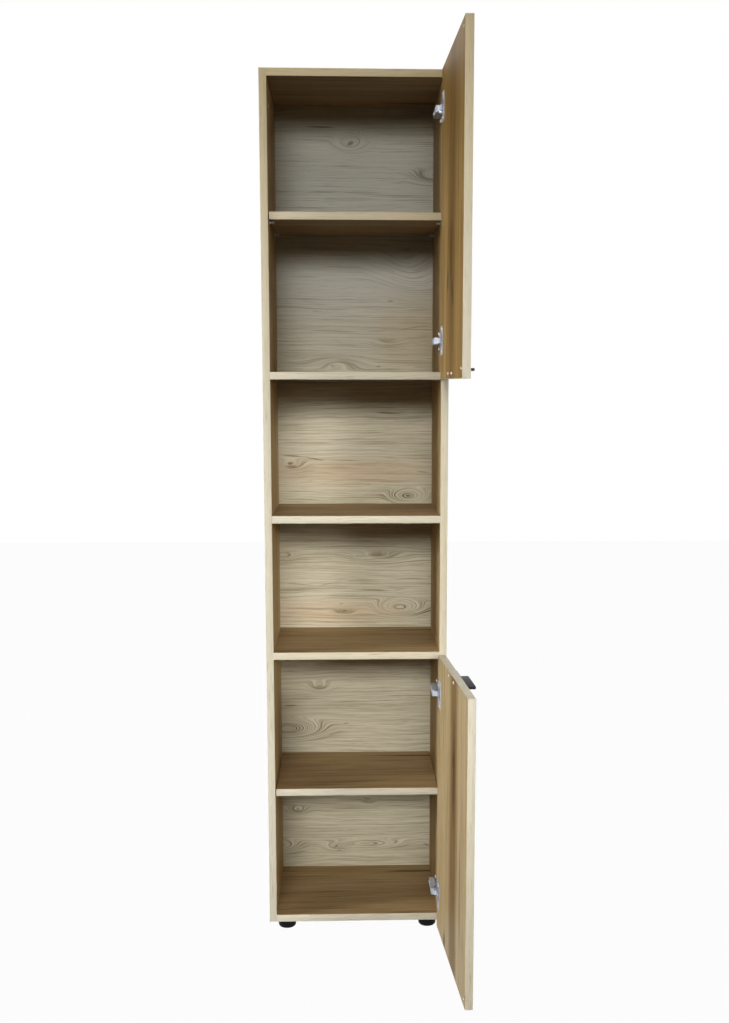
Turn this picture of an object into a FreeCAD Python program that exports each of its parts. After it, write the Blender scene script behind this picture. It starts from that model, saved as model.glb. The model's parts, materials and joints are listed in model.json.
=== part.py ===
import FreeCAD, Part
import os
import Sketcher
from FreeCAD import Placement, Rotation, Vector

# Tall narrow bathroom cabinet of laminated board on four round feet: six
# compartments one above another, an upper and a lower door on concealed cup
# hinges, and an open bay of two compartments between them.
# Frame: origin on the floor under the middle of the carcass, +X to the right,
# +Y from the front towards the back, +Z up. Both doors stand open at rest.

doc = FreeCAD.newDocument("tall_cabinet")
sheet = doc.addObject("Spreadsheet::Sheet", "Dims")


class Size:
    """A length that knows its value and how it is worked out from the sheet."""

    def __init__(self, value, text):
        self.value, self.text = float(value), text

    def join(self, other, sign, value, swap=False):
        right = other.text if isinstance(other, Size) else repr(float(other))
        left, right = (right, self.text) if swap else (self.text, right)
        return Size(value, "(%s %s %s)" % (left, sign, right))

    def __add__(self, other):
        return self.join(other, "+", self.value + num(other))

    def __sub__(self, other):
        return self.join(other, "-", self.value - num(other))

    def __mul__(self, other):
        return self.join(other, "*", self.value * num(other))

    def __truediv__(self, other):
        return self.join(other, "/", self.value / num(other))

    def __radd__(self, other):
        return self.join(other, "+", num(other) + self.value, swap=True)

    def __rsub__(self, other):
        return self.join(other, "-", num(other) - self.value, swap=True)

    def __rmul__(self, other):
        return self.join(other, "*", num(other) * self.value, swap=True)

    def __neg__(self):
        return Size(-self.value, "(0 - %s)" % self.text)


def num(size):
    return size.value if isinstance(size, Size) else float(size)


row_count = 0


def dim(alias, value, note):
    """Write one driving dimension in the sheet and hand back its Size."""
    global row_count
    row_count += 1
    sheet.set("A%d" % row_count, note)
    sheet.set("B%d" % row_count, str(value))
    sheet.setAlias("B%d" % row_count, alias)
    return Size(value, "Dims." + alias)


# carcass
width = dim("cab_width", 400, "width over the two sides")
board = dim("board_thick", 16, "thickness of every board")
depth = dim("side_depth", 292, "depth of the sides, front edge to back panel")
backThick = dim("back_thick", 3, "thickness of the back panel")
height = dim("carcass_height", 1866, "height of the sides")
band = dim("band_thick", 1, "thickness of the edge bands")
backInset = dim("back_inset", 2, "back panel short of the carcass all round")
footHeight = dim("foot_height", 25, "height of the feet")
footInset = dim("foot_inset", 38, "foot centre from the carcass sides, front and back")
footTop = dim("foot_top_radius", 21.5, "radius of a foot under the carcass")
footBase = dim("foot_base_radius", 18.5, "radius of a foot near the floor")
footWall = dim("foot_wall", 2.6, "wall of a foot")
footDeck = dim("foot_deck", 3.5, "thickness of a foot's deck under the carcass")
footBoss = dim("foot_boss", 6, "radius of the boss round the foot screw")
footRim = dim("foot_rim", 5, "straight rim at the top of a foot")
footEdge = dim("foot_edge", 1.5, "chamfer of a foot at the floor")
footSeat = dim("foot_seat", 9, "seat of the foot screw's head over the floor")
footScrewIn = dim("foot_screw_in", 12, "foot screw sunk in the bottom board")

# tops of the shelves, from the underside of the carcass or from the board below
fixedUpper = dim("fixed_upper_top", 1243, "fixed shelf under the upper door")
fixedMiddle = dim("fixed_middle_top", 932, "fixed shelf in the open bay")
fixedLower = dim("fixed_lower_top", 628, "fixed shelf over the lower door")
upperRise = dim("upper_rise", 334, "upper adjustable shelf over the fixed shelf below it")
lowerRise = dim("lower_rise", 297.5, "lower adjustable shelf over the bottom board")
looseEnd = dim("loose_end", 2, "adjustable shelf short of each side")
looseFront = dim("loose_front", 3, "adjustable shelf behind the front plane")
looseBack = dim("loose_back", 4, "adjustable shelf in front of the back panel")
pinRadius = dim("pin_radius", 2.5, "shelf pin")
pinCollar = dim("pin_collar", 1, "collar of a shelf pin wider than the pin")
pinFront = dim("pin_front", 37, "front shelf pin from the front plane")
pinBack = dim("pin_back", 37, "rear shelf pin from the back panel")
pinOut = dim("pin_out", 11, "shelf pin standing out of the side")
pinIn = dim("pin_in", 9, "shelf pin sunk in the side")
plugFront = dim("plug_front", 60, "cover plug on the left side behind the front plane")
plugDrop = dim("plug_drop", 65, "cover plug under the top of the carcass")
plugRadius = dim("plug_radius", 2.5, "stem of the cover plug")
plugHead = dim("plug_head", 3.8, "head of the cover plug")
plugLength = dim("plug_length", 7, "stem of the cover plug sunk in the side")

# joints of the carcass
screwFront = dim("joint_front", 50, "front joint screw from the front plane")
screwBack = dim("joint_back", 50, "rear joint screw from the back panel")
shankRadius = dim("joint_radius", 3.45, "joint screw shank")
headRadius = dim("joint_head", 4.9, "joint screw head")
screwLength = dim("joint_length", 50, "joint screw length with its head")
headDepth = dim("joint_head_depth", 4, "depth of the screw head")
nailRadius = dim("nail_radius", 0.9, "back panel nail")
nailHead = dim("nail_head", 2.6, "head of a nail")
nailCap = dim("nail_cap", 0.8, "thickness of the nail's head")
nailLength = dim("nail_length", 15, "length of a nail under its head")
nailEnd = dim("nail_end", 60, "first and last nail from the ends of the back panel")
nailCount = 6
fit = dim("fit_gap", 0.05, "radial clearance round a fastener")
spare = dim("hole_spare", 1, "blind hole deeper than what goes into it")
shank = dim("screw_radius", 2, "shank of the foot, plate and handle screws")

# doors
reveal = dim("door_reveal", 2, "door edge inside the carcass side")
gap = dim("door_gap", 3, "closed door in front of the carcass")
upperLap = dim("upper_lap", 15, "upper door reaching under the top of its fixed shelf")
lowerLap = dim("lower_lap", 6, "top of the lower door under the top of its fixed shelf")
lowerDrop = dim("lower_drop", 12, "lower door reaching under the carcass")
upperAngle = dim("upper_angle", 91.6, "upper door as it stands, in degrees from closed")
lowerAngle = dim("lower_angle", 94.1, "lower door as it stands, in degrees from closed")
axisIn = dim("axis_in", 9.1, "door axis inside the outer face of the side")
axisOut = dim("axis_out", 12, "door axis in front of the front plane")
bumperRadius = dim("bumper_radius", 3, "door bumper")
bumperThick = dim("bumper_thick", 2.6, "door bumper")
bumperDome = dim("bumper_dome", 0.8, "rounded part of the bumper's thickness")
bumperEdge = dim("bumper_edge", 11, "door bumper from the free edge")
bumperEnd = dim("bumper_end", 19, "door bumper from the door end")

# handles
handleLength = dim("handle_length", 97, "length of a handle")
handleOut = dim("handle_out", 28, "lip standing out of the door")
handleThick = dim("handle_thick", 5.5, "thickness of the lip")
handleLeg = dim("handle_leg", 3, "thickness of the mounting leg")
handleTall = dim("handle_tall", 18, "height of the mounting leg")
handleEdge = dim("handle_edge", 3, "mounting leg from the door end")
handlePitch = dim("handle_pitch", 64, "distance between the handle screws")
handleScrew = dim("handle_screw", 10.5, "handle screws from the door end")
handleCorner = dim("handle_corner", 3.5, "rounding of the lip")
handleShift = dim("handle_shift", 10, "middle of the handle from the middle of the door, towards the hinges")
handleSkin = dim("handle_skin", 0.5, "leg left in front of a handle screw")

# concealed hinges
plateScrewLength = dim("plate_screw_length", 14, "plate screw under its head")
cupScrewLength = dim("cup_screw_length", 11, "cup screw under its head")
cupShank = dim("cup_screw_radius", 1.7, "shank of a cup screw")
armShank = dim("arm_screw_radius", 1.95, "shank of an arm screw")
upperHinge = dim("upper_hinge", 81, "hinge centre from the ends of the upper door")
lowerHinge = dim("lower_hinge", 85, "hinge centre from the ends of the lower door")
cupInset = dim("cup_inset", 22, "cup centre from the hinge edge")
cupRadius = dim("cup_radius", 17.4, "outside of the cup")
cupHollow = dim("cup_hollow", 15.8, "inside of the cup")
cupDepth = dim("cup_depth", 12.4, "cup under its flange")
cupFloor = dim("cup_floor", 0.8, "thickness of the cup floor")
flangeThick = dim("flange_thick", 1, "flange of the cup")
flangeRing = dim("flange_ring", 18.8, "ring of the flange round the cup")
flangeRear = dim("flange_rear", 18, "rear edge of the flange behind the cup centre")
flangeFore = dim("flange_fore", 15, "front edge of the flange before the cup centre")
flangeTall = dim("flange_tall", 30.8, "flange above and below the cup centre")
flangeCut = dim("flange_cut", 3, "cut corner of the flange")
earReach = dim("ear_reach", 24, "cup screw above and below the cup centre")
earShift = dim("ear_shift", 9.5, "cup screws behind the cup centre")
lugNear = dim("lug_near", 5.9, "inner face of a cup lug")
lugThick = dim("lug_thick", 1.5, "thickness of a cup lug")
armX = dim("arm_pivot_in", 13.03, "arm pivot inside the inner face of the side")
armY = dim("arm_pivot_out", 10.31, "arm pivot in front of the front plane")
armHalf = dim("arm_half", 6.9, "half the width of the arm")
armSheet = dim("arm_sheet", 1.2, "sheet thickness of the arm")
armHigh = dim("arm_high", 16, "arm web off the side")
armLow = dim("arm_low", 4.5, "arm flange off the side")
armBack = dim("arm_back", 54, "rear end of the arm behind the front plane")
armNose = dim("arm_nose", 3, "radius of the arm nose")
armOpen = dim("arm_open", 8.4, "arm web ends this far in front of the front plane")
armFlare = dim("arm_flare", 9, "arm flange at full height from here back")
linkLength = dim("link_length", 15.99, "arm pivot to cup pivot")
linkAngle = dim("link_angle", 23.47, "link at rest, in degrees below the X axis")
linkHalf = dim("link_half", 5.4, "half the width of the link")
linkHub = dim("link_hub", 5.6, "half the width of its hub on the arm pin")
linkTip = dim("link_tip", 1.9, "radius of its end in the cup")
linkCheek = dim("link_cheek", 1.4, "thickness of a link cheek")
linkEye = dim("link_eye", 2.4, "radius of a link round its arm pin")
linkBend = dim("link_bend", 5.3, "outside of the link's bend off the line of its pivots")
linkWaist = dim("link_waist", 1, "inside of the link's bend off the line of its pivots")
linkNear = dim("link_near", 6, "near end of the bend from the arm pin")
linkFar = dim("link_far", 11, "far end of the bend from the arm pin")
pivotRadius = dim("pivot_radius", 1.25, "pivot pins of the hinge")
pivotFit = dim("pivot_fit", 0.02, "radial clearance of a pin where it is held")
pivotPlay = dim("pivot_play", 0.04, "radial play of the arm pin in the link")
cupPinHalf = dim("cup_pin_half", 5.7, "half the length of the cup pin")
plateScrew = dim("plate_screw", 16, "plate screw above and below the hinge")
plateAt = dim("plate_at", 37, "plate screws behind the front plane")
plateWing = dim("plate_wing", 21, "wing of the plate above and below")
plateThick = dim("plate_thick", 2, "thickness of a wing")
railHigh = dim("rail_high", 12, "height of the rail that carries the arm")
railHalf = dim("rail_half", 5.4, "half the width of the rail")
railFront = dim("rail_front", 20, "front end of the rail behind the front plane")
armScrewIn = dim("arm_screw_in", 7, "arm screw sunk in the rail")
armScrewA = dim("arm_screw_front", 30, "front arm screw behind the front plane")
armScrewB = dim("arm_screw_rear", 46, "rear arm screw behind the front plane")
doc.recompute()

frontY = -(depth + backThick) / 2
innerX = width / 2 - board
clearWidth = width - board * 2
coreDepth = depth - band
hingeEdge = axisIn - reveal
doorWide = width - reveal * 2
innerFace = axisOut - gap
outerFace = innerFace - board
axisX = width / 2 - axisIn
axisY = frontY - axisOut
pinRear = depth - pinBack
screwRear = depth - screwBack
nailHole = nailLength - backThick + spare
looseDepth = depth - looseFront - looseBack
looseUpper = fixedUpper + upperRise
looseLower = board + lowerRise
upperLow = fixedUpper - upperLap
lowerHigh = fixedLower - lowerLap
levels = [board / 2, fixedLower - board / 2, fixedMiddle - board / 2,
          fixedUpper - board / 2, height - board / 2]
kept = []


def drive(target, path, size):
    """Bind one property to the sheet."""
    if isinstance(size, Size):
        target.setExpression(path, size.text)


def body(label):
    made = doc.addObject("PartDesign::Body", "Body_" + label)
    made.Label = label
    return made


def plane(owner, role):
    for feature in owner.Origin.OriginFeatures:
        if feature.Role == role:
            return feature
    raise ValueError(role)


def sketch(owner, role, lift):
    """A sketch on one of the body's own planes, lifted along its normal."""
    made = owner.newObject("Sketcher::SketchObject", owner.Name + "_sketch")
    made.AttachmentSupport = [(plane(owner, role), "")]
    made.MapMode = "FlatFace"
    made.AttachmentOffset = Placement(Vector(0, 0, num(lift)), Rotation())
    drive(made, "AttachmentOffset.Base.z", lift)
    return made


def pinned(made, geometry, point, x, y):
    """Hold one point of a sketch at x, y from its origin."""
    for kind, size in (("DistanceX", x), ("DistanceY", y)):
        index = made.addConstraint(Sketcher.Constraint(kind, -1, 1, geometry, point, num(size)))
        drive(made, "Constraints[%d]" % index, size)


def outline(made, points):
    """A closed outline of straight lines with every corner pinned."""
    first = made.GeometryCount
    spots = [Vector(num(x), num(y), 0) for x, y in points]
    count = len(spots)
    for i in range(count):
        made.addGeometry(Part.LineSegment(spots[i], spots[(i + 1) % count]), False)
    for i in range(count):
        made.addConstraint(Sketcher.Constraint("Coincident", first + i, 2, first + (i + 1) % count, 1))
    for i, (x, y) in enumerate(points):
        pinned(made, first + i, 1, x, y)
    return made


def box(made, x0, y0, x1, y1):
    return outline(made, [(x0, y0), (x1, y0), (x1, y1), (x0, y1)])


def rounds(made, circles):
    """Circles given as x, y and radius."""
    for x, y, radius in circles:
        index = made.addGeometry(
            Part.Circle(Vector(num(x), num(y), 0), Vector(0, 0, 1), num(radius)), False)
        pinned(made, index, 3, x, y)
        size = made.addConstraint(Sketcher.Constraint("Radius", index, num(radius)))
        drive(made, "Constraints[%d]" % size, radius)
    return made


def pad(owner, made, length, back=False):
    grown = owner.newObject("PartDesign::Pad", owner.Name + "_pad")
    grown.Profile = made
    grown.Length = num(length)
    grown.Reversed = back
    drive(grown, "Length", length)
    made.Visibility = False
    return grown


def pocket(owner, made, length, along=False):
    """Cut against the plane's normal, or along it; the cut has to take material."""
    doc.recompute()
    before = owner.Shape.Volume
    cut = owner.newObject("PartDesign::Pocket", owner.Name + "_pocket")
    cut.Profile = made
    cut.Length = num(length)
    cut.Reversed = along
    drive(cut, "Length", length)
    doc.recompute()
    if owner.Shape.Volume > before - 0.01:
        raise ValueError("the cut takes nothing from " + owner.Label)
    return cut


def settle(owner, x, y, z, angle=None):
    """Put a finished piece in its place; angle turns it about the vertical."""
    owner.Placement = Placement(Vector(num(x), num(y), num(z)),
                                Rotation(Vector(0, 0, 1), num(angle) if angle is not None else 0))
    drive(owner, "Placement.Base.x", x)
    drive(owner, "Placement.Base.y", y)
    drive(owner, "Placement.Base.z", z)
    if isinstance(angle, Size):
        owner.setExpression("Placement.Rotation.Angle", angle.text)
    kept.append(owner)
    return owner


def group(label, solids, place=None):
    """Several equal small pieces that share one node."""
    made = doc.addObject("Part::Feature", "Group_" + label)
    made.Label = label
    made.Shape = Part.makeCompound(solids) if len(solids) > 1 else solids[0]
    if place is not None:
        made.Placement = place
    kept.append(made)
    return made


def turned(profile, base, direction):
    """A small turned piece: (distance, radius) steps along its axis."""
    spots = [Vector(0, 0, num(profile[0][0]))]
    spots += [Vector(num(r), 0, num(a)) for a, r in profile]
    spots += [Vector(0, 0, num(profile[-1][0])), spots[0]]
    solid = Part.Face(Part.makePolygon(spots)).revolve(Vector(0, 0, 0), Vector(0, 0, 1), 360)
    solid.Placement = Placement(Vector(*[num(v) for v in base]),
                                Rotation(Vector(0, 0, 1), Vector(*direction)))
    return solid


def screw(head, tall, radius, reach, base, direction):
    """A round-headed screw that sits with the underside of its head on base."""
    return turned([(-tall, head * 0.7), (tall * -0.5, head), (0, head), (0, radius), (reach, radius)],
                  base, direction)


def block(x0, y0, z0, x1, y1, z1):
    low = Vector(num(x0), num(y0), num(z0))
    high = Vector(num(x1), num(y1), num(z1))
    return Part.makeBox(high.x - low.x, high.y - low.y, high.z - low.z, low)


# boards of the carcass, modelled from their lowest front left corner

def nail_levels():
    return [nailEnd + (height - nailEnd * 2) * i / (nailCount - 1) for i in range(nailCount)]


def side_panel(label, right):
    """A side board, drilled for joint screws, shelf pins, nails and hinge plates."""
    made = body(label)
    pad(made, box(sketch(made, "YZ_Plane", 0), 0, 0, coreDepth, height), board)
    outside, inside = (board, 0) if right else (0, board)
    joints = [(y - band, z) for z in levels for y in (screwFront, screwRear)]
    pocket(made, rounds(sketch(made, "YZ_Plane", outside),
                        [(y, z, shankRadius + fit) for y, z in joints]), board, along=not right)
    pocket(made, rounds(sketch(made, "YZ_Plane", outside),
                        [(y, z, headRadius + fit * 2) for y, z in joints]), headDepth, along=not right)
    pins = [(y - band, z - board - pinRadius) for z in (looseUpper, looseLower) for y in (pinFront, pinRear)]
    pocket(made, rounds(sketch(made, "YZ_Plane", inside),
                        [(y, z, pinRadius + fit) for y, z in pins]), pinIn + spare, along=right)
    nails = [(board / 2, z, nailRadius + fit) for z in nail_levels()]
    pocket(made, rounds(sketch(made, "XZ_Plane", -coreDepth), nails), nailHole, along=True)
    if right:
        plates = [(plateAt - band, z - footHeight + side, shank + fit)
                  for z in hinge_levels() for side in (-plateScrew, plateScrew)]
        pocket(made, rounds(sketch(made, "YZ_Plane", inside), plates),
               plateScrewLength - plateThick + spare, along=True)
    else:
        plug = [(plugFront - band, height - plugDrop, plugRadius + fit)]
        pocket(made, rounds(sketch(made, "YZ_Plane", inside), plug), plugLength + spare)
    return settle(made, innerX if right else -width / 2, frontY + band, footHeight)


def hinge_levels():
    """Heights of the four hinges over the floor, from the top down."""
    return [footHeight + height - upperHinge, footHeight + upperLow + upperHinge,
            footHeight + lowerHigh - lowerHinge, footHeight - lowerDrop + lowerHinge]


side_panel("left_side_panel", False)
side_panel("right_side_panel", True)


def cross_panel(label, top):
    """A board between the sides with a screw hole in each corner of its ends."""
    made = body(label)
    pad(made, box(sketch(made, "XY_Plane", 0), 0, 0, clearWidth, coreDepth), board)
    ends = [(y - band, board / 2, shankRadius + fit) for y in (screwFront, screwRear)]
    reach = screwLength - board + spare
    pocket(made, rounds(sketch(made, "YZ_Plane", 0), ends), reach, along=True)
    pocket(made, rounds(sketch(made, "YZ_Plane", clearWidth), ends), reach)
    pocket(made, rounds(sketch(made, "XZ_Plane", -coreDepth),
                        [(clearWidth / 2, board / 2, nailRadius + fit)]), nailHole, along=True)
    return settle(made, -innerX, frontY + band, footHeight + top - board)


cross_panel("top_panel", height)
cross_panel("bottom_panel", board)
cross_panel("fixed_shelf_upper", fixedUpper)
cross_panel("fixed_shelf_middle", fixedMiddle)
cross_panel("fixed_shelf_lower", fixedLower)


def loose_shelf(label, top):
    """An adjustable shelf, lying on its four pins."""
    made = body(label)
    wide = clearWidth - looseEnd * 2
    pad(made, box(sketch(made, "XY_Plane", 0), 0, 0, wide, looseDepth - band), board)
    return settle(made, -wide / 2, frontY + looseFront + band, footHeight + top - board)


loose_shelf("adjustable_shelf_upper", looseUpper)
loose_shelf("adjustable_shelf_lower", looseLower)

# the back panel covers the rear edges of all the boards
back = body("back_panel")
pad(back, box(sketch(back, "XZ_Plane", 0), 0, 0, width - backInset * 2, height - backInset * 2),
    backThick, back=True)
nailSpots = [(x - backInset, z - backInset) for z in nail_levels() for x in (board / 2, width - board / 2)]
nailSpots += [(width / 2 - backInset, z - backInset) for z in levels]
pocket(back, rounds(sketch(back, "XZ_Plane", 0), [(x, z, nailRadius + fit) for x, z in nailSpots]),
       backThick)
settle(back, backInset - width / 2, frontY + depth, footHeight + backInset)
nailX = backInset - width / 2
nailZ = footHeight + backInset
group("back_panel_nails",
      [turned([(-nailCap, nailHead), (0, nailHead), (0, nailRadius), (nailLength, nailRadius)],
              (nailX + x, frontY + depth + backThick, nailZ + z), (0, -1, 0)) for x, z in nailSpots])

# edge bands on every front edge of the carcass and of the adjustable shelves
bands = [block(side, frontY, footHeight, side + board, frontY + band, footHeight + height)
         for side in (-width / 2, innerX)]
bands += [block(-innerX, frontY, footHeight + z - board / 2, innerX, frontY + band,
                footHeight + z + board / 2) for z in levels]
group("carcass_edge_bands", bands)
looseX = innerX - looseEnd
looseY = frontY + looseFront
group("adjustable_shelf_edge_bands",
      [block(-looseX, looseY, footHeight + top - board, looseX, looseY + band, footHeight + top)
       for top in (looseUpper, looseLower)])

# joint screws through the sides into the ends of the fixed boards
group("joint_screws",
      [turned([(0, headRadius), (headDepth, headRadius), (headDepth, shankRadius),
               (screwLength, shankRadius)], (side * num(width) / 2, frontY + y, footHeight + z),
              (-side, 0, 0))
       for side in (-1, 1) for z in levels for y in (screwFront, screwRear)])


def shelf_pins(label, top):
    """Four pins: sunk shank, collar in the end gap and the part under the shelf."""
    collar = looseEnd * 0.75
    steps = [(-pinIn, pinRadius), (0, pinRadius), (0, pinRadius + pinCollar),
             (collar, pinRadius + pinCollar), (collar, pinRadius), (pinOut, pinRadius)]
    level = footHeight + top - board - pinRadius
    group(label, [turned(steps, (side * num(innerX), frontY + y, level), (-side, 0, 0))
                  for side in (-1, 1) for y in (pinFront, pinRear)])


shelf_pins("upper_shelf_pins", looseUpper)
shelf_pins("lower_shelf_pins", looseLower)
group("side_cover_plug",
      [turned([(-plugLength, plugRadius), (0, plugRadius), (0, plugHead), (1.2, plugHead - 0.6)],
              (-innerX, frontY + plugFront, footHeight + height - plugDrop), (1, 0, 0))])


def foot(label, x, y):
    """A round plastic foot, hollow from below with a boss for its screw."""
    made = body(label)
    profile = sketch(made, "XZ_Plane", 0)
    bore = shank + fit * 4
    deck = footHeight - footDeck
    outline(profile, [(bore, footHeight), (footTop, footHeight), (footTop, footHeight - footRim),
                      (footBase + footEdge * 0.8, footEdge * 2), (footBase - footEdge, 0),
                      (footBase - footEdge - footWall, 0), (footTop - footWall - 1.2, deck),
                      (footBoss + 0.5, deck), (footBoss, footSeat), (bore, footSeat)])
    ring = made.newObject("PartDesign::Revolution", made.Name + "_turn")
    ring.Profile = profile
    ring.ReferenceAxis = (profile, ["V_Axis"])
    ring.Angle = 360
    return settle(made, x, y, 0)


footX = width / 2 - footInset
footFront = frontY + footInset
footRear = -frontY - footInset
feet = (("foot_front_left", -footX, footFront), ("foot_front_right", footX, footFront),
        ("foot_rear_left", -footX, footRear), ("foot_rear_right", footX, footRear))
for label, x, y in feet:
    foot(label, x, y)
group("foot_screws",
      [screw(footBoss * 0.65, 3.2, shank, footHeight - footSeat + footScrewIn,
             (x, y, footSeat), (0, 0, 1)) for label, x, y in feet])

# the bottom board takes the foot screws
bottom = [piece for piece in kept if piece.Label == "bottom_panel"][0]
pocket(bottom, rounds(sketch(bottom, "XY_Plane", 0),
                      [(innerX + x, y - frontY - band, shank + fit) for label, x, y in feet]),
       footScrewIn + spare, along=True)


# Each door is modelled closed, with its vertical turning axis at the local
# origin and its bottom edge at zero, then turned to the angle it stands at.

def door(name, low, high, angle, hinge, handleTop):
    """One door with its bands, handle, bumpers and the fixed halves of its hinges."""
    level = footHeight + low
    tall = high - low
    left = hingeEdge - doorWide
    cupX = hingeEdge - cupInset
    cups = (hinge, tall - hinge)
    grip = tall - handleScrew if handleTop else handleScrew
    middle = hingeEdge - doorWide / 2 + handleShift
    gripX = (middle - handlePitch / 2, middle + handlePitch / 2)

    made = body(name + "_door")
    pad(made, box(sketch(made, "XZ_Plane", -innerFace), left + band, band, hingeEdge - band,
                  tall - band), board)
    pocket(made, rounds(sketch(made, "XZ_Plane", -innerFace),
                        [(cupX, z, cupRadius + fit * 2) for z in cups]), cupDepth + 0.2, along=True)
    pocket(made, rounds(sketch(made, "XZ_Plane", -innerFace),
                        [(cupX - earShift, z + ear, cupShank + fit) for z in cups
                         for ear in (-earReach, earReach)]), cupScrewLength, along=True)
    pocket(made, rounds(sketch(made, "XZ_Plane", -innerFace),
                        [(x, grip, shank + fit * 2) for x in gripX]), board, along=True)
    settle(made, axisX, axisY, level, angle)
    turn = made.Placement

    group(name + "_door_edge_bands", [
        block(left, outerFace, 0, left + band, innerFace, tall),
        block(hingeEdge - band, outerFace, 0, hingeEdge, innerFace, tall),
        block(left + band, outerFace, 0, hingeEdge - band, innerFace, band),
        block(left + band, outerFace, tall - band, hingeEdge - band, innerFace, tall)], turn)
    group(name + "_door_bumpers",
          [turned([(0, bumperRadius), (bumperThick - bumperDome, bumperRadius),
                   (bumperThick, bumperRadius - bumperDome * 1.5)],
                  (left + bumperEdge, innerFace, z), (0, 1, 0))
           for z in (bumperEnd, tall - bumperEnd)], turn)
    group(name + "_handle_screws",
          [screw(3.2, 2, shank, board + handleLeg - handleSkin - 0.1, (x, innerFace, grip), (0, -1, 0))
           for x in gripX], turn)
    group(name + "_cup_screws",
          [screw(3.4, 1.4, cupShank, cupScrewLength,
                 (cupX - earShift, innerFace + flangeThick, z + ear), (0, -1, 0))
           for z in cups for ear in (-earReach, earReach)], turn)

    handle(name, middle, gripX, grip, tall, handleTop, level, angle)
    for z, place in zip(cups, ("bottom", "top")):
        cup("%s_%s_hinge_cup" % (name, place), cupX, z, level, angle)


def handle(name, middle, gripX, grip, tall, handleTop, level, angle):
    """An angle handle: a leg screwed to the door and a lip to pull at."""
    made = body(name + "_handle")
    start = middle - handleLength / 2
    if handleTop:
        edge, deep = tall - handleEdge, tall - handleEdge - handleTall
    else:
        edge, deep = handleEdge, handleEdge + handleTall
    pad(made, box(sketch(made, "YZ_Plane", start), outerFace - handleLeg, deep, outerFace, edge),
        handleLength)
    lipSketch = sketch(made, "XY_Plane", deep if handleTop else deep - handleThick)
    tip = outerFace - handleOut
    cut = handleCorner * 0.3
    outline(lipSketch, [(start, outerFace - handleLeg), (start, tip + handleCorner),
                        (start + cut, tip + cut), (start + handleCorner, tip),
                        (start + handleLength - handleCorner, tip),
                        (start + handleLength - cut, tip + cut),
                        (start + handleLength, tip + handleCorner),
                        (start + handleLength, outerFace - handleLeg)])
    pad(made, lipSketch, handleThick)
    pocket(made, rounds(sketch(made, "XZ_Plane", -outerFace),
                        [(x, grip, shank + fit) for x in gripX]), handleLeg - handleSkin, along=True)
    settle(made, axisX, axisY, level, angle)


def cup(label, x, z, level, angle):
    """The cup of a hinge: a dish let into the door under a long flange, and two lugs."""
    made = body(label)
    rear, fore, top, low = x - flangeRear, x + flangeFore, z + flangeTall, z - flangeTall
    pad(made, rounds(sketch(made, "XZ_Plane", -innerFace), [(x, z, cupRadius)]), cupDepth)
    pad(made, rounds(sketch(made, "XZ_Plane", -innerFace), [(x, z, flangeRing)]), flangeThick, back=True)
    pad(made, outline(sketch(made, "XZ_Plane", -innerFace), [
        (rear, low + flangeCut), (rear + flangeCut, low), (fore - flangeCut, low),
        (fore, low + flangeCut), (fore, top - flangeCut), (fore - flangeCut, top),
        (rear + flangeCut, top), (rear, top - flangeCut)]), flangeThick, back=True)
    pocket(made, rounds(sketch(made, "XZ_Plane", -innerFace - flangeThick), [(x, z, cupHollow)]),
           cupDepth + flangeThick - cupFloor, along=True)
    pocket(made, rounds(sketch(made, "XZ_Plane", -innerFace - flangeThick),
                        [(x - earShift, z + ear, cupShank + fit) for ear in (-earReach, earReach)]),
           flangeThick, along=True)
    for side in (-1, 1):
        lugAt = lugNear * side if side > 0 else -lugNear - lugThick
        pad(made, box(sketch(made, "XZ_Plane", cupDepth - innerFace - cupFloor), x + 8, z + lugAt,
                      x + 13.6, z + lugAt + lugThick), cupDepth - cupFloor - 2, back=True)
    settle(made, axisX, axisY, level, angle)


door("upper", upperLow, height, upperAngle, upperHinge, False)
door("lower", -lowerDrop, lowerHigh, lowerAngle, lowerHinge, True)


# Hinge arms, plates and links have their local origin on the inner face of the
# right side, in the front plane, at the height of the hinge. A link hangs on a
# pin between the ears of its arm, and its far pin runs between the cup's lugs.

def arm(label, level):
    """The arm: a channel of folded sheet over the rail, its ears carry the link's pin."""
    made = body(label)
    web = armHigh - armSheet
    over = armHalf
    shape = sketch(made, "XY_Plane", -armHalf)
    outline(shape, [(-armLow, armBack), (-armHigh, armBack), (-armHigh, -armY),
                    (armNose - armX, -armY), (armNose - armX, 0), (-armLow - 2, armFlare - 5),
                    (-armLow, armFlare)])
    pad(made, shape, armHalf * 2)
    pad(made, rounds(sketch(made, "XY_Plane", -armHalf), [(-armX, -armY, armNose)]), armHalf * 2)
    hollow = sketch(made, "XY_Plane", armHalf - armSheet)
    outline(hollow, [(-web, armBack + over), (-web, -armOpen), (-armHigh - over, -armOpen),
                     (-armHigh - over, -armY - over), (0, -armY - over), (0, armBack + over)])
    pocket(made, hollow, (armHalf - armSheet) * 2)
    pocket(made, rounds(sketch(made, "XY_Plane", armHalf), [(-armX, -armY, pivotRadius + pivotFit)]),
           armHalf * 2)
    pocket(made, rounds(sketch(made, "YZ_Plane", -armHigh),
                        [(y, 0, armShank + fit * 3) for y in (armScrewA, armScrewB)]),
           armSheet, along=True)
    settle(made, innerX, frontY, level)


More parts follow.
